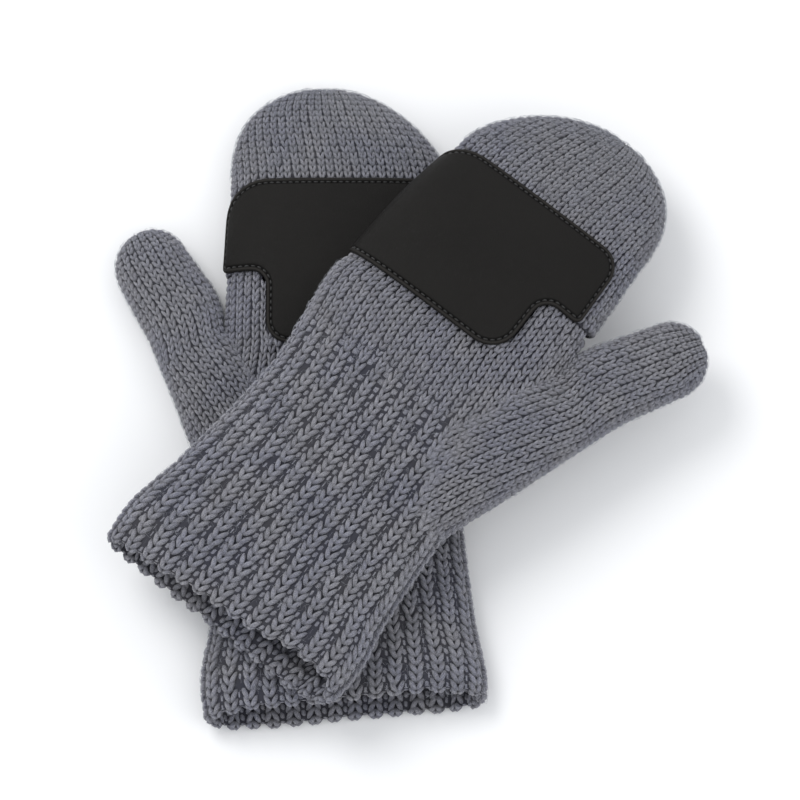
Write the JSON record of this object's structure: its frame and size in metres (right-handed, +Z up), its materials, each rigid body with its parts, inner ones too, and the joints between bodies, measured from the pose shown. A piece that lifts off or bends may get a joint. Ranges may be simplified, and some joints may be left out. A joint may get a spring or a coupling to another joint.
{
  "type": "convertible flip-top mittens",
  "caption": "Pair of ribbed wool mittens lying crossed, palm up, each with a hinged flap over short finger tubes and a notched leather palm patch.",
  "frame": {"origin": "under the middle of the lower mitten's flat back, on the surface that it rests on", "axes": "+Y from the lower mitten's cuff to its tip, +Z up out of the palms, +X to the right, away from the lower mitten's thumb"},
  "size_m": [0.2802, 0.3077, 0.064],
  "materials": {
    "wool_knit": "marled blue-grey wool, ribbed knit",
    "fleece_lining": "dark grey brushed fleece",
    "palm_leather": "near-black smooth leather with a faint sheen",
    "black_thread": "black sewing thread"
  },
  "bodies": {
    "lower_mitten": {"lower_sleeve": "wool_knit", "lower_cuff_hem": "wool_knit", "lower_thumb": "wool_knit", "lower_index_finger": "wool_knit", "lower_middle_finger": "wool_knit", "lower_ring_finger": "wool_knit", "lower_little_finger": "wool_knit", "lower_hand_lining": "fleece_lining", "lower_thumb_lining": "fleece_lining", "lower_hinge_seam": "wool_knit"},
    "lower_flap_top": {"lower_flap": "wool_knit", "lower_flap_lining": "fleece_lining", "lower_palm_patch": "palm_leather", "lower_patch_stitching": "black_thread"},
    "upper_mitten": {"upper_sleeve": "wool_knit", "upper_cuff_hem": "wool_knit", "upper_thumb": "wool_knit", "upper_index_finger": "wool_knit", "upper_middle_finger": "wool_knit", "upper_ring_finger": "wool_knit", "upper_little_finger": "wool_knit", "upper_hand_lining": "fleece_lining", "upper_thumb_lining": "fleece_lining", "upper_hinge_seam": "wool_knit"},
    "upper_flap_top": {"upper_flap": "wool_knit", "upper_flap_lining": "fleece_lining", "upper_palm_patch": "palm_leather", "upper_patch_stitching": "black_thread"}
  },
  "joints": [
    {"name": "lower_flap_hinge", "type": "hinge", "parent": "lower_mitten", "child": "lower_flap_top", "pos_m": [0, 0.031, -0.00015], "axis": [-1, 0, 0], "range_deg": [0, 170]},
    {"name": "upper_lift", "type": "slide", "parent": "lower_mitten", "child": "upper_mitten", "axis": [0, 0, 1], "range_m": [0, 0.36]},
    {"name": "upper_flap_hinge", "type": "hinge", "parent": "upper_mitten", "child": "upper_flap_top", "pos_m": [0.04713, 0.03826, 0.03225], "axis": [-0.7912, 0.6115, 0], "range_deg": [0, 170]}
  ],
  "couplings": [
    {"joint": "upper_lift", "follows": "upper_flap_hinge", "m_per_rad": 0.12}
  ]
}
